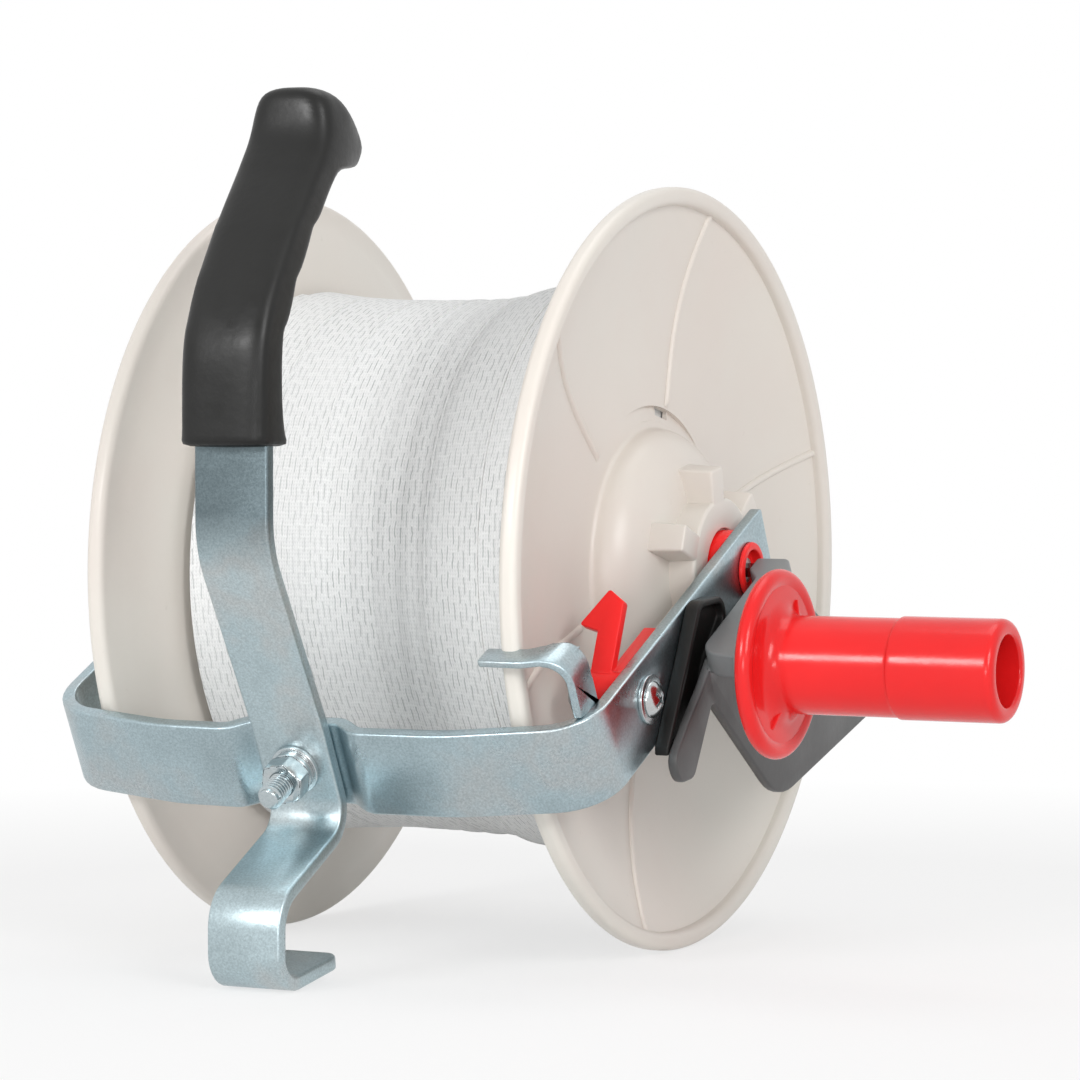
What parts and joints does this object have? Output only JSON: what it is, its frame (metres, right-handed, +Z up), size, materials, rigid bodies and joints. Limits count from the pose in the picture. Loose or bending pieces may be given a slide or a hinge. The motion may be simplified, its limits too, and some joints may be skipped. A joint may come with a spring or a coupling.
{
  "type": "electric fence reel",
  "caption": "Hand-cranked reel of fence tape: a dished plastic drum in a U-shaped flat steel frame, with a hook-footed carrying handle, wire guide, pawl and crank knob.",
  "frame": {"origin": "on the ground, in the middle of the reel's box seen from above", "axes": "+X along the drum's axle towards the crank knob, -Y towards the handle, +Z up as the reel stands on its rims and the handle's foot"},
  "size_m": [0.315, 0.293, 0.277],
  "materials": {
    "zinc_frame": "satin",
    "zinc_fastener": "bright",
    "steel_rod": "drawn",
    "grip_black": "matte",
    "red_plastic": "satin",
    "red_gloss": "gloss",
    "black_plastic": "satin",
    "grey_plastic": "satin",
    "cream_plastic": "satin",
    "tape": "woven polythene tape"
  },
  "bodies": {
    "frame": {"frame": "zinc_frame", "handle_strap": "zinc_frame", "grip": "grip_black", "handle_bolt": "zinc_fastener", "flat_washer": "zinc_fastener", "spring_washer": "zinc_fastener", "handle_nut": "zinc_fastener", "bush_right": "red_plastic", "bush_left": "red_plastic", "collar_right": "red_plastic", "collar_left": "red_plastic", "wire_guide": "zinc_frame", "brake_shoe": "black_plastic", "pawl_screw": "zinc_fastener", "pawl_screw_washer": "zinc_fastener", "pawl_nut": "zinc_fastener"},
    "drum": {"flange_right": "cream_plastic", "flange_left": "cream_plastic", "drum_barrel": "cream_plastic", "tape_core": "tape", "tape_winding": "tape", "axle": "steel_rod", "axle_washer": "zinc_fastener", "axle_nut": "zinc_fastener", "crank_arm": "grey_plastic", "knob_pin": "steel_rod", "knob_washer": "zinc_fastener"},
    "pawl": {"pawl": "red_plastic"},
    "knob": {"knob": "red_gloss"}
  },
  "joints": [
    {"name": "drum_spin", "type": "hinge", "parent": "frame", "child": "drum", "pos_m": [-0.0504, 0.0215, 0.125], "axis": [1, 0, 0], "continuous": true},
    {"name": "pawl_pivot", "type": "hinge", "parent": "frame", "child": "pawl", "pos_m": [0.035, -0.05608, 0.08788], "axis": [1, 0, 0], "range_deg": [-25, 20]},
    {"name": "knob_spin", "type": "hinge", "parent": "drum", "child": "knob", "pos_m": [0.079, -0.0325, 0.09839], "axis": [1, 0, 0], "continuous": true}
  ]
}
